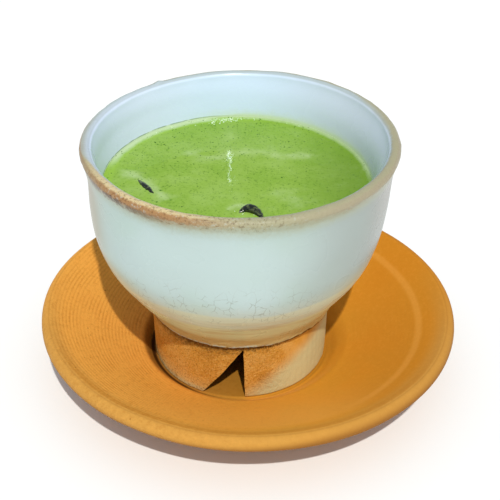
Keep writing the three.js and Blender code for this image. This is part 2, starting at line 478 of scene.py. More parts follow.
class Effects:
    """The node groups that more than one finish uses."""

    def __init__(self) -> None:
        """Builds the groups once."""
        self.mottle = self._mottle()
        self.flecks = self._flecks()

    @staticmethod
    def _open(name: str, colours: tuple, numbers: tuple, result: str) -> tuple:
        """An empty group with named inputs and one result.

        Args:
            name: the group's name.
            colours: names of the inputs that are colours.
            numbers: names of the inputs that are numbers.
            result: socket type of the result.

        Returns:
            A weaver on it, its inputs by name, and the socket that takes the result.
        """
        tree = bpy.data.node_groups.new(name, "ShaderNodeTree")
        for names, kind in ((colours, "NodeSocketColor"), (numbers, "NodeSocketFloat")):
            for label in names:
                tree.interface.new_socket(label, in_out="INPUT", socket_type=kind)
        tree.interface.new_socket("Result", in_out="OUTPUT", socket_type=result)
        weaver = Weaver(tree)
        begin, end = weaver.add("NodeGroupInput"), weaver.add("NodeGroupOutput")
        given = {label: Field(weaver, begin.outputs[label]) for label in colours + numbers}
        return weaver, given, end.inputs[0]

    def _mottle(self) -> bpy.types.NodeTree:
        """Broad and fine blotches that drift a colour between a first, a plain and a second one.

        Returns:
            The group's tree.
        """
        w, give, result = self._open("mottle", ("Plain", "First", "Second"), ("Size", "Strength"),
                                     "NodeSocketColor")
        scale = w.math(Operation.DIVIDE, 500.0, give["Size"])
        blotches = []
        for factor, detail in ((1.0, 2.0), (2.7, 4.0)):
            node = w.add("ShaderNodeTexNoise", {"Vector": w.where((7.0 * factor, 3.0, 5.0)),
                                                "Scale": scale * factor, "Detail": detail})
            blotches.append(Field(w, node.outputs["Fac"]))
        value = blotches[0] * 0.6 + blotches[1] * 0.4
        coat = Coat(w, give["Plain"])
        coat.lay(give["First"], value.step(0.52, 0.36) * give["Strength"])
        coat.lay(give["Second"], value.step(0.48, 0.64) * give["Strength"])
        w.feed(result, coat.colour)
        return w.tree

    def _flecks(self) -> bpy.types.NodeTree:
        """Small scattered flecks: the hearts of cells, of which chance keeps some.

        Returns:
            The group's tree.
        """
        w, give, result = self._open("flecks", (), ("Size", "Amount", "Reach"), "NodeSocketFloat")
        bent = w.add("ShaderNodeTexNoise", {"Scale": 900.0, "Vector": w.where()})
        shift = w.add("ShaderNodeVectorMath", {0: bent.outputs["Color"], 1: (0.0008, 0.0008, 0.0008),
                                               2: w.where()}, operation="MULTIPLY_ADD")
        scale = w.math(Operation.DIVIDE, 1000.0, give["Size"])
        cell = w.add("ShaderNodeTexVoronoi", {"Vector": shift.outputs[0], "Scale": scale}, feature="F1")
        chance = w.add("ShaderNodeSeparateColor", {0: cell.outputs["Color"]})
        reach = give["Reach"] * (Field(w, chance.outputs[1]) + 0.4)
        core = Field(w, cell.outputs["Distance"]).step(reach, reach * 0.45)
        w.feed(result, w.math(Operation.LESS_THAN, chance.outputs[0], give["Amount"]) * core)
        return w.tree


class Finish:
    """A named material with one Principled shader, and the weaver that builds on it."""

    def __init__(self, name: str, slot: str) -> None:
        """Makes the empty material."""
        self.slot = slot
        self.material = bpy.data.materials.new(name)
        self.material.use_nodes = True
        self.weave = Weaver(self.material.node_tree)
        self.shader = self.material.node_tree.nodes["Principled BSDF"]

    def set(self, **values: Input) -> None:
        """Feeds the shader's sockets, named with _ for a space."""
        for name, value in values.items():
            self.weave.feed(self.shader.inputs[name.replace("_", " ")], value)

    def put_on(self, piece: bpy.types.Object, replaced: tuple = ()) -> bpy.types.Object:
        """Gives the piece this material, its body and the nodes that it stands for.

        Args:
            piece: what is dressed.
            replaced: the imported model's nodes that it stands for.

        Returns:
            The piece.
        """
        piece.data.materials.clear()
        piece.data.materials.append(self.material)
        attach(piece, "root")
        if replaced:
            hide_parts(*replaced)
        log.info("%s: %d vertices in %s", piece.name, len(piece.data.vertices), self.material.name)
        return piece


@dataclass(frozen=True)
class GlazeColours:
    """Colours of the bowl's glaze, lip and clay."""

    pale: tuple = paint(186, 206, 198)
    milky: tuple = paint(190, 208, 205)
    # Painted shade for the right of the outer glaze.
    dusky_shade: tuple = paint(164, 173, 167)
    rose_shade: tuple = paint(168, 156, 146)
    flank: tuple = paint(178, 165, 134)
    cream: tuple = paint(208, 210, 178)
    tan: tuple = paint(216, 218, 166)
    ochre: tuple = paint(192, 160, 94)
    craze: tuple = paint(122, 124, 104)
    inside: tuple = paint(212, 230, 252)
    # Painted light for the left and painted shade for the right of the inner glaze.
    inside_left_lit: tuple = paint(222, 234, 255)
    inside_right_shade: tuple = paint(206, 216, 230)
    # Painted shade for the lip's crest.
    crest: tuple = paint(170, 182, 180)
    lip_brown: tuple = paint(166, 114, 50)
    lip_tan: tuple = paint(168, 160, 122)
    lip_light: tuple = paint(222, 196, 140)
    lip_dusky: tuple = paint(166, 152, 120)
    lip_edge: tuple = paint(158, 126, 84)
    lip_fade: tuple = paint(174, 180, 152)
    # Dark brown for scorched specks, and for painted shadow under the lip.
    scorch_and_shadow: tuple = paint(84, 58, 34)
    clay: tuple = paint(222, 160, 66)
    clay_dark: tuple = paint(150, 94, 30)
    clay_light: tuple = paint(248, 206, 128)
    clay_cream: tuple = paint(212, 208, 160)
    # Painted shade in the foot's hollow and under the glaze's roll, and the dark crack.
    clay_shade_and_crack: tuple = paint(94, 60, 20)
    tide: tuple = paint(86, 124, 66)
    film: tuple = paint(204, 222, 176)


class GlazeFinish(Finish):
    """Crazed pale glaze that thins to tan low down, a brown speckled lip and a bare clay foot.

    Its piece stores how far inside the bowl a place lies, how far along the lip's section from its
    crest, outwards, how high above the wavy edge of the glaze, and how deep in the foot. Places in
    x, y and z are metres from the bowl's axis, and a mask starts at step's first one.
    """

    craze_cell: float = 2.4

    def __init__(self, effects: Effects, colours: GlazeColours = GlazeColours()) -> None:
        """Builds the material."""
        super().__init__("crazed_glaze", "glaze")
        w = self.weave
        self.colours, self.mottle = colours, effects.mottle
        self.x, self.y, self.z = w.split(w.where((-BOWL_X, 0, 0)))
        self.along, self.above = w.attribute("lip_out"), w.attribute("above_edge")
        self.near_lip = self.along.between(-2.6, -0.8, 4.0, 6.0)
        fine = w.noise(0.8, detail=5, rough=0.7)

        glazed = self._lip(w.over(w.attribute("inside"), self._outside(), self._inside()))
        # Painted shade: the clay darkens inside the foot's hollow and on the faces of the knife cut.
        deep = w.attribute("inward").step(0.2, 2.0)
        bare = w.over(deep * 0.9, self._clay(), colours.clay_shade_and_crack)
        edge = fine * 0.5 - 0.25
        covered = self.above.step(edge - 0.12, edge + 0.12)
        self.set(Base_Color=w.over(covered, bare, glazed), Specular_IOR_Level=covered * 0.2 + 0.05,
                 Roughness=(1.0 - covered) * 0.5 + (w.noise(9.0) * 0.12 + 0.22))

        grain = (1.0 - covered) * self.x.step(0.026, 0.008) * w.noise(0.5, detail=6, rough=0.75)
        normal = w.bump(self.near_lip * fine, 0.3, w.bump(grain, 0.8))
        self.set(Normal=w.bump(w.noise(14.0, detail=2), 0.5, normal))

    def _outside(self) -> Field:
        """Outer glaze: milky with painted shade to the right, brown at its left flank, cream, then tan, low
        down.

        The cream starts at a throwing ring and the tan at a lower one; both rings waver a little.

        Returns:
            The colour.
        """
        w, c, x, y, z = self.weave, self.colours, self.x, self.y, self.z
        place = w.where((-BOWL_X, 0, 0))
        coat = Coat(w, w.over(w.noise(20.0, place).step(0.42, 0.62), c.pale, c.milky))
        # Painted shade: the glaze darkens to the right, and turns greyer pink higher up at the far right.
        coat.lay(c.dusky_shade, (w.noise(18.0, place) * 0.012 + x).step(0.008, 0.054))
        coat.lay(c.rose_shade, x.step(0.040, 0.056) * z.step(0.060, 0.090) * 0.7)
        turn = y / w.math(Operation.SQRT, x * x + y * y)
        flank = x.step(0.0, -0.02) * turn.between(-0.70, -0.14, -0.10, 0.60) * z.step(0.050, 0.074)
        coat.lay(c.flank, flank.step(0.0, 0.7) * 0.75)
        runs = w.noise(3.0, w.where(stretch=(1, 1, 0.35)), detail=4).step(0.44, 0.64)
        coat.lay(c.lip_edge, flank * runs * turn.step(-0.50, -0.20) * 0.5)

        streaks = w.noise(6.0, w.where(stretch=(0.45, 0.45, 5)), detail=4, rough=0.6)
        height = z + (w.noise(24.0, place) * 0.006 - 0.003 + x * -0.03)
        coat.lay(c.cream, height.step(0.064, 0.056) * 0.3)
        coat.lay(c.cream, height.step(0.0572, 0.0556) * 0.85)
        low = height + (streaks * 0.008 - 0.004)
        coat.lay(c.tan, low.step(0.0488, 0.0455) * 0.9)
        coat.lay(c.ochre, low.step(0.0400, 0.0350) * 0.7)
        coat.lay(c.ochre, streaks.step(0.50, 0.62) * z.step(0.056, 0.048) * 0.35)
        coat.lay(c.tan, abs(x).step(0.024, 0.046) * z.step(0.070, 0.050) * 0.45)

        speckle = w.noise(0.6, detail=4, rough=0.75)
        roll = self.above.step(1.6, 0.3) * x.step(0.022, 0.0)
        coat.lay(c.milky, roll * speckle.step(0.44, 0.52) * 0.85)
        coat.lay(c.scorch_and_shadow, roll * speckle.step(0.43, 0.37) * 0.75)
        coat.lay(c.craze, self._hairs() * 0.5)
        return coat.colour

    def _hairs(self) -> Field:
        """Crazing: bent edges of cells on the unrolled wall, low on the front and rubbed away in places.

        Returns:
            A mask of the hairs.
        """
        w, x, y, z = self.weave, self.x, self.y, self.z
        bend = w.noise(2.2, detail=4, rough=0.6) * 0.0022 - 0.0011
        around = w.math(Operation.ARCTAN2, x, y * -1.0) * 0.048 + bend
        unrolled = w.add("ShaderNodeCombineXYZ", {0: around, 1: z * 0.62 + bend})
        cell = w.add("ShaderNodeTexVoronoi",
                     {"Vector": unrolled.outputs[0], "Scale": 1 / (self.craze_cell * MM)},
                     feature="DISTANCE_TO_EDGE", voronoi_dimensions="2D")
        hair = Field(w, cell.outputs["Distance"]).step(0.052, 0.012)
        wear_and_shade = w.noise(2.4, detail=4).step(0.44, 0.55)
        band = z.between(0.048, 0.055, 0.062, 0.073)
        front = x.between(-0.044, -0.032, 0.016, 0.034) * y.step(-0.005, -0.02)
        return hair * wear_and_shade * band * (front * 0.75 + 0.25)

    def _inside(self) -> Field:
        """Inner glaze, bluer to the left, with painted light there and painted shade to the right,
        and with a film and a fine tide line where the tea has stood.

        Returns:
            The colour.
        """
        w, c, x, y, z = self.weave, self.colours, self.x, self.y, self.z
        # Painted shade darkens the inner glaze to the right, and painted light brightens it to the left.
        coat = Coat(w, w.over(x.step(0.0, 0.050), c.inside, c.inside_right_shade))
        coat.lay(c.inside_left_lit, x.step(-0.010, -0.045))
        left = x.step(0.010, -0.020) * y.step(-0.025, 0.005)
        high = w.noise(6.0) * 0.0009 + (TEA_Z + 0.45) * MM
        wide = left.step(0.8, 0.1) * 0.0012 + 0.0004
        coat.lay(c.film, z.step(high + wide, high - 0.0002) * 0.8)
        line = abs(z - high).step(0.0003, 0.0001) * left * w.noise(2.4).step(0.30, 0.50)
        coat.lay(c.tide, line * 0.6)
        torn = w.noise(2.6, detail=5, rough=0.7) * 0.006 + 0.0825
        coat.lay(c.film, z.step(torn, 0.0812) * x.step(-0.030, 0.0) * 0.45)
        return coat.colour

    def _lip(self, under: Field) -> Field:
        """The lip, where the glaze runs thin: pale tan on its crest, darker on its outer half.

        It is browner to the left, with painted shadow under its lower edge there, fades softly at the right
        and leaves only a line on the outer edge behind and at the far left. Painted shade dims its crest.

        Args:
            under: the glaze's colour away from the lip.

        Returns:
            The colour with the lip on it.
        """
        w, c, x, y, along = self.weave, self.colours, self.x, self.y, self.along
        near = (x * -0.35 + y).step(0.016, -0.026)
        wide = w.math(Operation.MAXIMUM, near, x.step(0.030, 0.050) * y.step(0.040, 0.010))
        far_left = x.step(-0.028, -0.050) * near.step(0.5, 0.0)
        left = x.step(0.006, -0.024) * near
        drift = w.noise(5.0, detail=4) * 1.6 - 0.8
        coarse = w.noise(0.7, detail=4, rough=0.75) * 3.0 - 1.5
        at = along + (drift + coarse * near)
        coat = Coat(w, under)
        # Painted shade dims the lit crest towards the tone of the wall below, a little less at the far left.
        crest_shade = along.between(-2.8, -1.4, 2.0, 5.0)
        coat.lay(c.crest, crest_shade * (x.step(-0.050, -0.020) * 0.2 + 0.6))
        soft = (wide - near) * 3.0 + 0.8
        start = wide * -1.8 + (far_left * 2.0 + 0.2)
        band = at.between(start - soft, start + soft, 4.2, 7.0)
        inner = w.over(left, c.lip_tan, c.lip_light)
        outer = Coat(w, w.over(left, c.lip_tan, c.lip_brown))
        outer.lay(c.lip_dusky, x.step(0.010, 0.040))
        outer.lay(c.lip_edge, wide.step(0.6, 0.1))
        coat.lay(w.over(at.step(0.8, 2.2), inner, outer.colour), band * 0.88)
        coat.lay(c.lip_fade, at.between(4.0, 5.0, 5.5, 9.5) * near * 0.6)
        # Painted shadow in patches under the lip's lower outer edge at the left.
        patchy = w.noise(2.0, detail=5, rough=0.75).step(0.38, 0.50)
        shadow_under_lip = at.between(3.6, 4.2, 5.0, 6.4) * x.step(-0.020, -0.042) * near * patchy
        coat.lay(c.scorch_and_shadow, shadow_under_lip * 0.85)
        grain = w.noise(0.55, detail=4, rough=0.75)
        gritty = near * (x.step(0.030, 0.004) * 0.48 + 0.04)
        coat.lay(c.milky, grain.step(0.57, 0.66) * self.near_lip * gritty)
        coat.lay(c.scorch_and_shadow, grain.step(0.46, 0.38) * band * gritty)
        return coat.colour

    def _clay(self) -> Field:
        """Bare clay: sandy orange-brown with painted shadow below the glaze, a painted highlight low at the
        left and a cream bloom to the right.

        Returns:
            The colour.
        """
        w, c, x, y, z = self.weave, self.colours, self.x, self.y, self.z
        coat = Coat(w, w.group(self.mottle, Plain=c.clay, First=c.clay_dark, Second=c.clay_light,
                               Size=7.0, Strength=0.25))
        soft = w.noise(5.0, detail=2) * 0.004 - 0.002
        bloom = (x * -0.72 + z + soft).step(0.010, -0.001) * x.step(-0.006, 0.006)
        coat.lay(c.clay_cream, bloom * 0.95)
        # Painted highlight along the foot's lower left edge, paler cream at its very bottom.
        coat.lay(c.clay_light, z.step(0.0135, 0.0055) * x.step(-0.002, -0.020) * 0.8)
        coat.lay(c.clay_cream, z.step(0.0078, 0.0062) * x.step(-0.006, -0.018) * 0.6)
        sand = w.noise(0.36, rough=0.85)
        calm = w.math(Operation.MAXIMUM, bloom, x.step(0.010, 0.024)) * -0.92 + 1.0
        coat.lay(c.clay_dark, sand.step(0.47, 0.36) * calm * 0.7)
        coat.lay(c.clay_light, sand.step(0.54, 0.64) * calm * 0.6)
        # Painted shadow below the glaze's roll, reaching further down at the left and ragged at its lower
        # edge.
        reach = x.step(0.026, -0.010) * -3.6 - 2.2
        ragged = w.noise(0.7, detail=4, rough=0.85) * 12.0 - 6.0
        coat.lay(c.clay_shade_and_crack, (self.above + ragged).step(reach, -1.0) * 0.85)
        crack = abs(x - 0.0015).step(0.00028, 0.0001) * z.step(0.0270, 0.0285) * y.step(0.0, -0.01)
        coat.lay(c.clay_shade_and_crack, crack * 0.8)
        return coat.colour


@dataclass(frozen=True)
class WoodColours:
    """Colours of the saucer."""

    plain: tuple = paint(218, 145, 42)
    ruddy: tuple = paint(218, 136, 32)
    olive: tuple = paint(210, 147, 46)
    pale: tuple = paint(236, 168, 78)
    deep: tuple = paint(196, 124, 30)
    rim: tuple = paint(196, 145, 70)
    groove: tuple = paint(178, 106, 28)
    # Colour of the painted shade by the well.
    dark: tuple = paint(66, 34, 4)
    pore: tuple = paint(140, 82, 24)
    # Colour of the painted shade on the underside and the lip's outer face.
    under: tuple = paint(150, 96, 36)


class WoodFinish(Finish):
    """Satin turned wood: broad warm patches, fine rings left by the chisel, short pores.

    Its piece stores the rings, how far in from the lip, what is underneath, and the painted shade of the
    well's wall and round the bowl's foot, with painted light at the front of the wall.
    """

    def __init__(self, effects: Effects, colours: WoodColours = WoodColours()) -> None:
        """Builds the material."""
        super().__init__("turned_wood", "wood")
        w, c = self.weave, colours
        x, y, _ = w.split(w.where())
        coat = Coat(w, w.group(effects.mottle, Plain=c.plain, First=c.ruddy, Second=c.olive,
                               Size=24.0, Strength=0.7))
        left = x.step(0.030, -0.055)
        # Paler towards the left: partly paler wood, partly a painted sheen.
        coat.lay(c.pale, left * 0.75)
        to_lip = w.attribute("to_lip")
        # Painted light on the front of the dish, away from the lip.
        coat.lay(c.pale, y.step(-0.030, -0.062) * to_lip.step(3.0, 9.0) * 0.5)
        # Darker towards the right: partly the wood's tone, partly painted shade where the light falls off.
        coat.lay(c.deep, x.step(0.020, 0.060) * 0.75)
        coat.lay(c.rim, to_lip.step(7.0, 0.5) * y.step(0.03, -0.03) * 0.75)
        # Painted shade on the lip's inner slope at the front, narrowing its highlight.
        coat.lay(c.deep, to_lip.between(0.2, 1.0, 2.4, 3.6) * y.step(-0.02, -0.05) * 0.4)
        # Painted light: a pale arc on the right where the dish starts to rise to the lip.
        coat.lay(c.pale, to_lip.between(8.2, 9.6, 10.4, 12.0) * x.step(0.03, 0.05) * 0.3)
        ring = w.attribute("ring")
        coat.lay(c.groove, ring * (left * 0.3 + 0.03))
        grain = w.noise(0.8, detail=5, rough=0.8)
        rough = left * 0.22 + 0.1
        coat.lay(c.pale, grain.step(0.5, 0.64) * rough)
        coat.lay(c.groove, grain.step(0.5, 0.36) * rough)
        pores = w.group(effects.flecks, Size=1.9, Amount=0.22, Reach=0.16)
        coat.lay(c.pore, pores * left * 0.6)
        # Painted shade round the foot and on the well's wall; below zero, painted light at the front of the
        # wall.
        wear_and_shade = w.attribute("wear_and_shade")
        coat.lay(c.pale, wear_and_shade.step(0.0, -1.0))
        coat.lay(c.dark, w.math(Operation.MAXIMUM, wear_and_shade, 0.0))
        # Painted shade on the underside and the lower outer face of the lip.
        coat.lay(c.under, w.attribute("underside") * 0.85)
        self.set(Base_Color=coat.colour, Roughness=grain * 0.2 + 0.5, Specular_IOR_Level=0.06,
                 Normal=w.bump(1.0 - ring, 0.03, w.bump(grain * left, 0.22)))


@dataclass(frozen=True)
class TeaColours:
    """Colours of the matcha."""

    plain: tuple = paint(142, 178, 66)
    deep: tuple = paint(124, 166, 44)
    light: tuple = paint(158, 190, 96)
    edge: tuple = paint(150, 192, 58)
    dusk: tuple = paint(100, 136, 28)
    speck: tuple = paint(54, 96, 12)
    froth: tuple = paint(190, 212, 150)
    film: tuple = paint(196, 214, 178)


class TeaFinish(Finish):
    """Opaque whisked matcha. Its piece stores where froth lies and how near the wall is."""

    def __init__(self, effects: Effects, colours: TeaColours = TeaColours()) -> None:
        """Builds the material."""
        super().__init__("whisked_matcha", "tea")
        w, c = self.weave, colours
        x, y, _ = w.split(w.where((-BOWL_X, 0, 0)))
        coat = Coat(w, w.group(effects.mottle, Plain=c.plain, First=c.deep, Second=c.light,
                               Size=9.0, Strength=0.45))
        fine = w.noise(0.55, detail=5, rough=0.75)
        coat.lay(c.light, fine.step(0.52, 0.72) * 0.45)
        coat.lay(c.speck, fine.step(0.48, 0.28) * 0.6)
        coat.lay(c.dusk, x.step(0.012, 0.046) * 0.75)
        coat.lay(c.deep, y.step(0.005, 0.042) * 0.4)
        wall = w.attribute("to_wall")
        coat.lay(c.edge, wall.step(4.2, 2.4) * x.step(0.02, -0.02) * 0.5)
        uneven = wall + (w.noise(3.0, detail=5, rough=0.7) * 2.4 - 1.2)
        back = x.step(-0.006, -0.016) * y.step(0.006, 0.018)
        coat.lay(c.film, uneven.step(3.2, 0.6) * back * 0.8)
        coat.lay(c.film, uneven.step(2.0, 0.0) * y.step(-0.005, 0.010) * x.step(-0.02, 0.0) * 0.5)
        torn = w.noise(1.8, detail=5, rough=0.7) * 0.8 - 0.4
        coat.lay(c.froth, (w.attribute("froth") + torn).step(0.0, 1.1) * 0.9)
        thick = (x * -0.5 + y).step(0.0, 0.035)
        specks = w.group(effects.flecks, Size=1.15, Amount=0.5, Reach=0.27)
        coat.lay(c.speck, specks * (thick * 0.4 + 0.5))
        self.set(Base_Color=coat.colour, Roughness=0.032, Specular_IOR_Level=0.14,
                 Normal=w.bump(fine, 0.0008))


class IceFinish(Finish):
    """Wet ice over dark tea: near black, with a painted olive highlight in streaks on its upper face."""

    def __init__(self) -> None:
        """Builds the material."""
        super().__init__("wet_ice", "ice")
        w = self.weave
        streak = w.noise(0.8, bend=0.8).step(0.42, 0.62)
        # Painted highlight: olive streaks on the upper face that the crown mark picks out.
        colour = w.over(w.attribute("crown") * streak, paint(14, 20, 10), paint(84, 94, 52))
        self.set(Base_Color=colour, Roughness=streak * 0.15 + 0.1,
                 Normal=w.bump(w.noise(2.0, detail=1), 0.06))


@dataclass(frozen=True)
class Patches:
    """The finish of something small that floats: two tones in soft patches, and one gloss."""

    name: str
    size: float
    tones: tuple
    roughness: float
    specular: float

    def finish(self) -> Finish:
        """Builds the material.

        Returns:
            The finish.
        """
        finish = Finish(self.name, "tea")
        patch = finish.weave.noise(self.size).step(0.4, 0.6)
        finish.set(Base_Color=finish.weave.over(patch, *self.tones), Roughness=self.roughness,
                   Specular_IOR_Level=self.specular)
        return finish


# Clear thin-walled bubbles with a hard glint, and dull flakes of undissolved powder
BUBBLE = Patches("tea_bubble", 0.8, (paint(186, 220, 150), paint(214, 236, 196)), 0.05, 0.8)
FLAKE = Patches("matcha_flakes", 2.0, (paint(50, 96, 14), paint(90, 138, 34)), 0.6, 0.1)


# Pieces


@dataclass
class TeaBowl:
    """The thrown bowl: body, lip and hollow foot ring with its knife-cut notch."""

    columns: int = 320
    foot_radius: float = 34.2
    foot_z: float = WELL_FLOOR_Z + 0.05
    glaze_edge_z: float = 30.9
    glaze_edge_tilt: float = 0.02
    hollow_keys: tuple = ((0, 29.2), (15, 28.4), (22.5, 25.8), (26.4, 14), (27, 5.8))
    bead_keys: tuple = ((34.8, 30.6), (35.35, 30.15), (36.15, 30.55), (36.9, 32.2), (38.2, 35.2))
    wall_keys: tuple = ((38.2, 35.2), (42.9, 42.2), (49.6, 52.4), (53.3, 62), (54.8, 75), (55.5, 89.5),
                        (56.9, 96))
    notch: tuple = ((-15.4, 3.0), (1.5, 28.6), (2.34, 3.0))
    notch_reach: tuple = (-42, -21)
    swell: float = 0.9
    swell_z: tuple = (30.2, 42, 60, 90)
    roll_z: tuple = (30.0, 30.5, 32.4, 35.5)
    ring_pitch: float = 2.3
    ring_depth: float = 0.07
    rings_fade_z: tuple = (46, 58)
    sharp_degrees: float = 40

    def section(self) -> tuple[np.ndarray, np.ndarray]:
        """The bowl's closed section.

        Returns:
            [radius, z] rows from the roof of the foot's hollow to the middle of the inside floor, and
            a mark for each row that is 1 on the inside of the bowl.
        """
        outer = np.vstack([
            smooth_curve(self.hollow_keys, 22)[:-1],
            arc((27.8, self.foot_z + 0.8), (0.8, 0.8), 180, 270, 4),
            arc((self.foot_radius - 1, self.foot_z + 1), (1, 1), -90, 0, 6),
            smooth_curve(((34.25, 7), (34.5, 18), (34.75, 30)), 26),
            smooth_curve(self.bead_keys, 22)[:-1],
            smooth_curve(self.wall_keys, 84)[:-1],
            arc(LIP_CENTRE, LIP_HALF, 0, 90, 14),
        ])
        inner = np.vstack([
            arc(LIP_CENTRE, LIP_HALF, 95, 175, 13),
            smooth_curve(INSIDE_KEYS, 76)[::-1],
        ])
        return np.vstack([outer, inner]), np.repeat([0.0, 1.0], [len(outer), len(inner)])

    def glaze_edge(self, x: np.ndarray, y: np.ndarray) -> np.ndarray:
        """Height of the wavy line where the glaze ends, by direction from the bowl's axis.

        Args:
            x: places across, from that axis.
            y: places towards the back.

        Returns:
            Heights, one a place.
        """
        angle = np.arctan2(y, x)
        around = np.column_stack([np.cos(angle), np.sin(angle)]) * self.foot_radius
        level = self.glaze_edge_z + self.glaze_edge_tilt * x
        return level + 0.14 * ripple(around, 16, 5) + 0.1 * ripple(around, 3.2, 6)

    def build(self) -> bpy.types.Object:
        """Turns the section, bends and roughens it as thrown clay is, cuts the notch and marks it.

        The outside swells 0.9 mm to the left low down, the inside leans, and the lip dips. Relief:
        shallow throwing rings low on the body, a bumpy roll where the glaze ends, an uneven lip.

        Returns:
            The bowl.
        """
        section, inside = self.section()
        points, faces = lathe(section, self.columns)
        within = np.concatenate([np.repeat(inside[1:-1], self.columns), [0.0, 1.0]])
        x, y, z = points.T
        radius = np.hypot(x, y)
        out = np.column_stack([x, y]) / np.maximum(radius, 1e-6)[:, None]
        shift = np.where(within > 0, inside_lean(z), -self.swell * between(z, *self.swell_z))
        dip = lip_dip(x, y, z)

        outer = (1 - within) * (radius > 33)
        body = outer * smoothstep(z, 33, 36)
        rings = np.sin(2 * math.pi * z / self.ring_pitch + 0.8 * ripple(points, 30, 11)) * self.ring_depth
        rings *= body * (1 - smoothstep(z, *self.rings_fade_z)) * (0.6 + 0.4 * ripple(points, 18, 12))
        soft = 0.16 * ripple(points, 26, 13) * body * (1 - smoothstep(z, 92, 97))
        roll = outer * between(z, *self.roll_z)
        bumps = roll * (0.06 * ripple(points, 2.6, 14) + 0.09 * ripple(points, 12, 15))
        edge = smoothstep(z, 95.0, 98.0)
        lip = edge * (0.03 * ripple(points, 3.0, 16) + 0.06 * ripple(points, 15, 17))
        grain = outer * (1 - smoothstep(z, 29.5, 30.2)) * 0.035 * ripple(points, 2.0, 18)
        push = rings + soft + bumps + grain + lip * np.where(within > 0, -0.5, 1.0)
        points[:, :2] += out * push[:, None]
        points[:, 2] += dip + rim_blob(x, y, z) + edge * 0.05 * ripple(points, 9.0, 19)
        points[:, 0] += shift

        piece = make_piece("tea_bowl", points + [BOWL_X, 0, 0], faces)
        cut_away(piece, self._knife_cut())
        piece.data.set_sharp_from_angle(angle=math.radians(self.sharp_degrees))
        self._mark(piece)
        return piece

    def _knife_cut(self) -> bpy.types.Object:
        """The wedge that the knife took out: an inverted V carried along Y, its faces slightly wavy.

        Returns:
            The wedge.
        """
        corner = np.array(self.notch)
        side = np.vstack([np.linspace(corner[k], corner[k - 2], 24, endpoint=False) for k in range(3)])
        depth = np.linspace(*self.notch_reach, 16)
        across, up = np.tile(side, (len(depth), 1)).T
        points = np.column_stack([across + BOWL_X, np.repeat(depth, len(side)), up])
        points[:, 0] += 0.07 * ripple(points, 6, 21)
        ends = [list(range(len(side)))[::-1], list(range(len(points) - len(side), len(points)))]
        return make_piece("knife_cut", points, ring_faces(len(depth), len(side)) + ends)

    def _mark(self, piece: bpy.types.Object) -> None:
        """Stores what the glaze needs: inside or out, the way along the lip, the height above its end.

        The wall's two sides are told apart by the middle line between the outer and inner section.
        The way along the lip is the radius beyond its crest, plus the depth below it, less inside.

        Args:
            piece: the bowl.
        """
        x, y, z = places(piece).T
        x = x - BOWL_X
        wall = smooth_curve(self.wall_keys, 200)
        hollow = smooth_curve(INSIDE_KEYS, 300)
        outer = np.interp(z, wall[:, 1], wall[:, 0])
        inner = np.interp(z, hollow[:, 1], hollow[:, 0])
        radius = np.hypot(x - inside_lean(z) * 0.5, y)
        middle = np.where(z > 95.5, LIP_CENTRE[0], (outer + inner) / 2)
        inside = np.clip(0.5 + (middle - radius) / 1.6, 0, 1) * (z > 36.6)
        below = RIM_TOP_Z + lip_dip(x, y, z) - z
        sign = np.where(radius > middle, 1.0, -1.0)
        mark(piece, "inside", inside)
        mark(piece, "lip_out", np.clip(radius - LIP_CENTRE[0], -2.2, 2.2) + sign * np.maximum(below, 0))
        mark(piece, "inward", np.clip(self.foot_radius - np.hypot(x, y), 0, 6))
        mark(piece, "above_edge", np.where(radius > 33.5, z - self.glaze_edge(x, y), (z > 36) * 9.0 - 4.0))


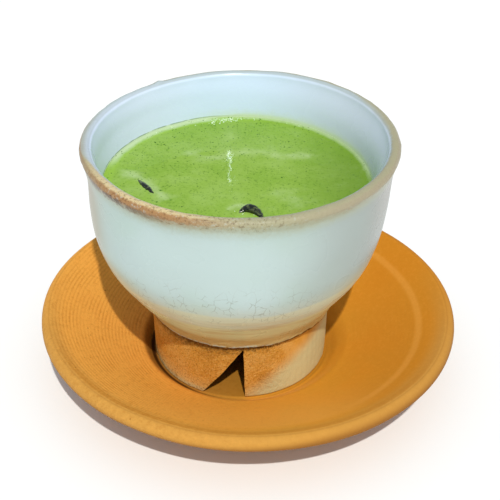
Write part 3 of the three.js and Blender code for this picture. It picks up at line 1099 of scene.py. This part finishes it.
@dataclass
class Saucer:
    """The turned saucer: a dished plate with a well for the bowl's foot, and a flat underside."""

    columns: int = 320
    base_radius: float = 43.0
    lip_centre: tuple = (77.1, 22.0)
    lip_round: tuple = (3.1, 3.1)
    side_keys: tuple = ((43, 0), (52, 5.2), (66, 13.8), (76.2, 19))
    top_keys: tuple = ((75.6, 24.7), (70, 22.2), (60, 17.4), (50, 12.9), (44.5, 10.6), (41, 9.2),
                       (38.6, 7.3), (36.6, 5.3), (34.9, 4.5))
    well_shift: float = -1.3
    oval: float = 1.3
    oval_angle: float = -0.275
    ring_pitch: float = 1.33
    ring_depth: float = 0.045
    ring_reach: tuple = (41, 43, 75, 79)
    well_wall: tuple = (35.0, 36.2, 39.2, 41.6)
    shade_left: float = 198
    shade_right: float = -15
    lit_front: float = 272

    def section(self) -> np.ndarray:
        """[radius, z] rows: underside, round lip, dished top, and the well in to its middle."""
        return np.vstack([
            np.column_stack([np.linspace(0, self.base_radius, 12), np.zeros(12)])[:-1],
            smooth_curve(self.side_keys, 30)[:-1],
            arc(self.lip_centre, self.lip_round, -80, 110, 26),
            smooth_curve(self.top_keys, 220),
            np.column_stack([np.linspace(34.7, 32.5, 12), np.full(12, WELL_FLOOR_Z)]),
            np.column_stack([np.linspace(31, 0, 20), np.full(20, WELL_FLOOR_Z)]),
        ])

    def build(self) -> bpy.types.Object:
        """Turns the section and lets the wood move.

        The plate is 1.3 mm oval, by the cosine of twice the angle from its longest radius, and the
        well lies off its centre. The chisel's rings are the cosine of the radius over their pitch,
        wavering a little by angle, and fade to the right.

        Returns:
            The saucer.
        """
        points, faces = lathe(self.section(), self.columns)
        x, y, z = points.T
        radius, angle = np.hypot(x, y), np.arctan2(y, x)
        upper = z > np.interp(radius, [40, 75], [3.5, 21])
        plan = np.column_stack([x, y])
        waver = 0.5 * ripple(plan, 26, 31) + 0.8 * ripple(plan, 60, 32)
        wave = 0.5 + 0.5 * np.cos(2 * math.pi * radius / self.ring_pitch + waver)
        patchy = np.clip(0.75 + 0.25 * ripple(plan, 12, 33), 0.2, 1.2)
        reach = between(radius, *self.ring_reach) * upper
        strong = 0.2 + 0.8 * smoothstep(-x, -30, 35)
        ring = wave**2.2 * patchy * reach * strong
        # Painted shade by the well: a dark line round the foot and the well's wall in shade, strongest at
        # the left, shade under the foot, and painted light over the front of the wall.
        left = np.maximum(np.cos(angle - math.radians(self.shade_left)), 0) ** 2
        right = np.maximum(np.cos(angle - math.radians(self.shade_right)), 0) ** 2
        near = np.exp(-((radius - 35.0) / (1.1 + 2.2 * right)) ** 2)
        wall = between(radius, *self.well_wall)
        hidden = 0.45 * (1 - smoothstep(radius, 33.0, 34.2))
        front = np.maximum(np.cos(angle - math.radians(self.lit_front)), 0) ** 2
        wear_and_shade = np.minimum(1.5 * left, 1) * near + 0.35 * right * near + 0.62 * left * wall + hidden
        wear_and_shade = np.clip(wear_and_shade - 0.9 * front * wall, -1, 1) * (z > 4)

        oval = self.oval * np.cos(2 * (angle - self.oval_angle)) * smoothstep(radius, 44, 76)
        shift = self.well_shift * (1 - smoothstep(radius, 44, 76))
        shift += (BOWL_X - self.well_shift) * (1 - smoothstep(radius, 35, 41))
        points[:, 0] += oval * np.cos(angle) + shift
        points[:, 1] += oval * np.sin(angle)
        lifted = smoothstep(z, 0.4, 3.0) * smoothstep(radius, 44, 60)
        points[:, 2] += -self.ring_depth * ring + 0.1 * lifted * ripple(plan, 45, 34)
        piece = make_piece("turned_saucer", points, faces)
        mark(piece, "ring", ring)
        mark(piece, "wear_and_shade", wear_and_shade)
        to_lip = np.maximum(self.lip_centre[0] - radius, 0)
        mark(piece, "to_lip", np.where(upper + (radius > 76), to_lip, 30))
        # Painted shade: the underside and the lip's lower outer face are marked, higher up that face towards
        # the right.
        low = 19.5 + 2.2 * smoothstep(x, -20, 40)
        outward = smoothstep(radius, 76, 78) * smoothstep(z, low, low + 3.6)
        mark(piece, "underside", 1 - np.clip(upper * (radius < 77) + outward, 0, 1))
        return piece


@dataclass
class IceTip:
    """A tip of ice that breaks the tea: elliptical sections along a bent, level spine."""

    name: str
    node: str
    start: tuple
    bend: tuple
    end: tuple
    half_width: float
    above: float
    below: float
    seed: int
    rings: int = 48
    sides: int = 32

    def spine(self, t: np.ndarray) -> np.ndarray:
        """Points of the spine in plan: the quadratic curve from start past bend to end.

        Args:
            t: the way along it, from 0 to 1.

        Returns:
            One [x, y] row a value.
        """
        start, bend, end = (np.array(p) for p in (self.start, self.bend, self.end))
        t = t[:, None]
        return (1 - t) ** 2 * start + 2 * t * (1 - t) * bend + t**2 * end

    def build(self) -> bpy.types.Object:
        """Sweeps the sections: half width and heights times the sine of the way along to 0.8.

        Returns:
            The tip.
        """
        along = np.linspace(0, 1, self.rings + 2)[1:-1]
        centre = self.spine(along)
        step = np.gradient(centre, axis=0)
        side = np.column_stack([-step[:, 1], step[:, 0]]) / np.linalg.norm(step, axis=1)[:, None]
        swell = np.sin(along * math.pi) ** 0.8
        turn = np.arange(self.sides) * 2 * math.pi / self.sides
        rise = np.where(np.sin(turn) > 0, self.above, self.below) * np.sin(turn)
        ridge = 1 + 0.12 * np.cos(3 * turn)
        across = self.half_width * np.outer(swell, np.cos(turn) * ridge)
        plan = centre[:, None] + side[:, None] * across[..., None]
        body = np.dstack([plan, TEA_Z + np.outer(swell, rise)]).reshape(-1, 3)
        body[:, :2] += 0.08 * np.column_stack([ripple(body, 1.6, self.seed + k) for k in (0, 1)])
        ends = np.column_stack([self.spine(np.array([0.0, 1.0])), [TEA_Z, TEA_Z]])
        points = np.vstack([body, ends]) + [BOWL_X, 0, 0]
        piece = make_piece(self.name, points, shell_faces(self.rings, self.sides))
        # The crown mark picks out the upper face, where the finish paints a highlight.
        crown = np.clip(np.concatenate([np.tile(np.sin(turn), self.rings), [0, 0]]) * 1.3 - 0.3, 0, 1)
        mark(piece, "crown", crown)
        return piece


TIPS = (
    IceTip("ice_sliver_left", "ice_tip_left", (-37.8, -0.3), (-34.3, -5.6), (-30.7, -11.0),
           half_width=1.2, above=1.0, below=1.9, seed=41),
    IceTip("ice_sliver_front", "ice_tip_front", (-0.3, -23.2), (4.1, -17.3), (8.5, -27.2),
           half_width=2.2, above=2.5, below=2.4, seed=43),
)


def distance_to_path(plan: np.ndarray, path: np.ndarray) -> np.ndarray:
    """Least distance from each place in plan to the points of a path."""
    return np.sqrt(((plan[:, None] - path[None]) ** 2).sum(axis=-1).min(axis=1))


@dataclass
class Matcha:
    """The tea, a closed filling that reaches just into the wall, with its froth marked."""

    columns: int = 288
    into_wall: float = 0.25
    froth_paths: tuple = (
        (((-41.2, 4.6), (-37.2, 1.0), (-32.3, -5.2), (-27.6, -12.6)), 3.0, 0.55),
        (((-19.5, 19.0), (-9.5, 16.4), (-1.9, 20.1), (6.5, 21.3), (15.8, 18.0), (25.0, 18.9)), 3.2, 0.42),
        (((-4.0, -20.2), (-1.6, -18.1), (2.5, -17.7)), 1.5, 0.6),
        (((14.5, -9.2), (19.4, -12.8), (21.4, -17.8)), 4.5, 0.35),
    )

    @staticmethod
    def axis_x() -> float:
        """How far in X the middle of the tea lies from the bowl's axis."""
        return float(inside_lean(np.array(TEA_Z)))

    def build(self, tips: tuple) -> bpy.types.Object:
        """Turns the filling's section and marks froth and nearness to the wall.

        The surface curls up against the wall and the ice by a falling exponential of the distance,
        and swells by a few hundredths of a millimetre where froth lies.

        Args:
            tips: the tips of ice that stand in it.

        Returns:
            The piece.
        """
        wall = smooth_curve(INSIDE_KEYS, 300)
        wall = wall[wall[:, 1] < TEA_Z + 0.6]
        edge = float(np.interp(TEA_Z, wall[:, 1], wall[:, 0])) + self.into_wall
        side = smooth_curve(tuple(map(tuple, wall[::30])) + ((edge, TEA_Z),), 40) + [self.into_wall * 0.4, 0]
        side[0, 0] = 0.0
        top = np.column_stack([np.linspace(edge, 0, 150), np.full(150, TEA_Z)])
        points, faces = lathe(np.vstack([side[:-1], top]), self.columns)
        plan, z = points[:, :2].copy(), points[:, 2]
        radius = np.hypot(*plan.T)
        surface = z > TEA_Z - 0.01
        to_wall = edge - self.into_wall - radius
        froth = np.zeros(len(points))
        for keys, width, strength in self.froth_paths:
            path = smooth_curve(keys, 60) - [self.axis_x(), 0]
            spread = width * (1 + 0.25 * ripple(plan, 9, 51))
            froth = np.maximum(froth, strength * np.exp(-(distance_to_path(plan, path) / spread) ** 2))
        froth += 0.08 * smoothstep(ripple(plan, 16, 52), 0.5, 1.6)
        lift = 0.4 * np.exp(-np.maximum(to_wall, 0) / 0.7)
        for tip in tips:
            near = distance_to_path(plan, tip.spine(np.linspace(0, 1, 80)) - [self.axis_x(), 0])
            lift += 0.25 * np.exp(-np.maximum(near - tip.half_width, 0) / 0.6)
        lift += 0.01 * froth + 0.002 * ripple(plan, 5, 53)
        points[:, 2] += lift * surface
        points[:, 0] += self.axis_x() + BOWL_X
        piece = make_piece("matcha", points, faces)
        mark(piece, "froth", froth * surface)
        mark(piece, "to_wall", np.where(surface, np.maximum(to_wall, 0), 0))
        return piece


def dome(sides: int, rows: int) -> tuple[np.ndarray, list]:
    """A small unit dome closed underneath: rows of cosine and sine of the height above the middle.

    Args:
        sides: how many corners round it.
        rows: how many rows up it.

    Returns:
        Vertices and faces, as lathe gives them.
    """
    lift = np.linspace(-0.5, 1, rows + 1)[:-1] * math.pi / 2 * 0.96
    section = np.column_stack([np.cos(lift), np.sin(lift)])
    return lathe(np.vstack([[0, section[0, 1]], section, [0, 1]]), sides)


def scatter(name: str, unit: tuple, centres: np.ndarray, sizes: np.ndarray, seed: int) -> bpy.types.Object:
    """One mesh of many copies of a small shape, each with its own place, size and turn.

    Args:
        name: the piece's name.
        unit: the small shape's vertices and faces.
        centres: places, one a row.
        sizes: half width, half depth and half height of each copy.
        seed: seeds the turns.

    Returns:
        The piece.
    """
    points, faces = unit
    turn = np.random.default_rng(seed).uniform(0, 2 * math.pi, len(centres))
    scaled = points[None] * sizes[:, None, :]
    cos, sin = np.cos(turn)[:, None], np.sin(turn)[:, None]
    spun = np.dstack([scaled[..., 0] * cos - scaled[..., 1] * sin,
                      scaled[..., 0] * sin + scaled[..., 1] * cos, scaled[..., 2]])
    placed = (spun + centres[:, None]).reshape(-1, 3)
    numbered = [[k + copy * len(points) for k in face] for copy in range(len(centres)) for face in faces]
    return make_piece(name, placed, numbered)


@dataclass
class Surface:
    """What floats on the tea: bubbles by the far wall and flakes of powder."""

    wall_radius: float = 49.3
    edge_bubbles: int = 90
    stray_bubbles: int = 12
    tip_bubbles: int = 18
    flake_count: int = 900
    tip_foam: tuple = ((2.0, -22.7), (3.1, -22.3), (4.2, -23.2), (5.4, -24.5), (1.2, -23.4), (-1.0, -22.2))
    clumps: tuple = ((-32.2, 27.8), (-31.2, 26.4), (-28.7, 26.4), (-27.3, 22.0), (-18.2, 32.6),
                     (-34.1, 10.0), (-27.6, -7.9), (-28.4, -15.8), (-23.5, -14.4))

    def bubbles(self) -> bpy.types.Object:
        """Bubbles strung along the far edge, with a few by the front tip of ice.

        Returns:
            The bubbles, as one piece.
        """
        draw = np.random.default_rng(61)
        many, few, more = self.edge_bubbles, self.stray_bubbles, self.tip_bubbles
        angle = np.radians(np.concatenate([draw.normal(97, 5.5, many), draw.uniform(60, 150, few)]))
        inward = np.concatenate([np.abs(draw.normal(1.2, 1.8, many)) + 0.3, draw.uniform(0.3, 1.2, few)])
        radius = self.wall_radius - inward
        edge = np.column_stack([radius * np.cos(angle) + Matcha.axis_x(), radius * np.sin(angle)])
        tip = np.array(self.tip_foam)[draw.integers(0, 6, more)] + draw.normal(0, 0.35, (more, 2))
        plan = np.vstack([edge, tip]) + [BOWL_X, 0]
        centres = np.column_stack([plan, np.full(len(plan), TEA_Z + 0.05)])
        half = draw.uniform(0.14, 0.42, len(centres))
        return scatter("froth_bubbles", dome(10, 4), centres, np.column_stack([half, half, half * 0.75]), 62)

    def flakes(self) -> bpy.types.Object:
        """Flat flakes, thicker towards the far left where powder gathers.

        Returns:
            The flakes, as one piece.
        """
        draw, count = np.random.default_rng(63), self.flake_count
        radius = self.wall_radius * np.sqrt(draw.uniform(0, 0.96, count))
        angle = draw.uniform(0, 2 * math.pi, count)
        x, y = radius * np.cos(angle), radius * np.sin(angle)
        weight = 0.35 + 0.65 * smoothstep(y - 0.4 * x, -20, 45)
        keep = draw.uniform(0, 1, count) < weight
        clumps = np.array(self.clumps)
        x, y = np.concatenate([x[keep], clumps[:, 0]]), np.concatenate([y[keep], clumps[:, 1]])
        half = draw.uniform(0.12, 0.28, len(x)) * np.where(draw.uniform(0, 1, len(x)) > 0.95, 1.6, 1.0)
        half[-len(clumps):] = 0.5
        centres = np.column_stack([x + BOWL_X + Matcha.axis_x(), y, np.full(len(x), TEA_Z + 0.02)])
        sizes = np.column_stack([half, half * draw.uniform(0.5, 0.9, len(x)), np.full(len(x), 0.06)])
        return scatter("matcha_flakes", dome(7, 2), centres, sizes, 64)


@dataclass
class Studio:
    """The pale floor, the lights and the camera."""

    eye: tuple = (0.81, -340.8, 283.4)
    target: tuple = (0.81, 0.0, 49.5)
    roll: float = 0.381
    lens: float = 77.4
    sun_from: tuple = (0.1, -0.69, 1.0)
    sun_strength: float = 2.5
    sun_angle: float = 1.2
    sun_colour: tuple = (1.0, 0.96, 0.89)
    sky_strength: float = 0.56
    sky_colour: tuple = (0.80, 0.90, 1.0, 1)
    glint_at: tuple = (-0.027, 0.9, 0.584)
    glint_size: tuple = (0.002, 0.06)
    glint_power: float = 0.0055
    glint_colour: tuple = (0.82, 0.92, 1.0)
    floor_half: float = 6.0
    floor_colour: tuple = (0.95, 0.95, 0.945, 1)

    def floor(self) -> None:
        """A wide pale floor at the saucer's underside."""
        mesh = bpy.data.meshes.new("floor")
        half = self.floor_half
        corners = [(-half, -half, 0), (half, -half, 0), (half, half, 0), (-half, half, 0)]
        mesh.from_pydata(corners, [], [[0, 1, 2, 3]])
        finish = Finish("pale_floor", "floor")
        finish.set(Base_Color=self.floor_colour, Roughness=0.9, Specular_IOR_Level=0.1)
        mesh.materials.append(finish.material)
        put_in_scene("floor", mesh)

    def lights(self) -> None:
        """A small high key from the front, a soft even sky and a slim light behind for the glints."""
        sun = bpy.data.lights.new("key", "SUN")
        sun.energy = self.sun_strength
        sun.angle = math.radians(self.sun_angle)
        sun.color = self.sun_colour
        key = put_in_scene("key", sun)
        key.rotation_euler = (-Vector(self.sun_from)).to_track_quat("-Z", "Y").to_euler()
        slim = bpy.data.lights.new("glint", "AREA")
        slim.shape = "RECTANGLE"
        slim.size, slim.size_y = self.glint_size
        slim.energy = self.glint_power
        slim.color = self.glint_colour
        back = put_in_scene("glint", slim)
        back.location = self.glint_at
        aim = Vector((BOWL_X * MM, 0.01, TEA_Z * MM)) - back.location
        back.rotation_euler = aim.to_track_quat("-Z", "Y").to_euler()
        back.visible_camera = False
        world = bpy.data.worlds.new("sky")
        world.use_nodes = True
        shade = world.node_tree.nodes["Background"]
        shade.inputs["Color"].default_value = self.sky_colour
        shade.inputs["Strength"].default_value = self.sky_strength
        bpy.context.scene.world = world
        bpy.context.scene.view_settings.view_transform = "Standard"

    def camera(self) -> None:
        """A long lens that looks down on the bowl, turned by a slight roll."""
        lens = bpy.data.cameras.new("camera")
        lens.lens = self.lens
        lens.sensor_width = 36.0
        lens.clip_start, lens.clip_end = 0.01, 50.0
        eye, target = Vector(self.eye) * MM, Vector(self.target) * MM
        ahead = (target - eye).normalized()
        level = ahead.cross(Vector((0, 0, 1))).normalized()
        upright = level.cross(ahead)
        turn = math.radians(self.roll)
        right = level * math.cos(turn) + upright * math.sin(turn)
        up = upright * math.cos(turn) - level * math.sin(turn)
        camera = put_in_scene("camera", lens)
        camera.matrix_world = Matrix((
            (right.x, up.x, -ahead.x, eye.x), (right.y, up.y, -ahead.y, eye.y),
            (right.z, up.z, -ahead.z, eye.z), (0, 0, 0, 1)))
        bpy.context.scene.camera = camera


def main() -> None:
    """Builds the studio and every piece."""
    logging.basicConfig(level=logging.INFO, format="%(message)s")
    effects = Effects()
    studio = Studio()
    studio.camera()
    studio.lights()
    studio.floor()

    GlazeFinish(effects).put_on(TeaBowl().build(), ("bowl",))
    WoodFinish(effects).put_on(Saucer().build(), ("saucer",))
    TeaFinish(effects).put_on(Matcha().build(TIPS), ("tea",))
    ice = IceFinish()
    for tip in TIPS:
        ice.put_on(tip.build(), (tip.node,))
    surface = Surface()
    BUBBLE.finish().put_on(surface.bubbles())
    FLAKE.finish().put_on(surface.flakes())


if __name__ == "__main__":
    main()
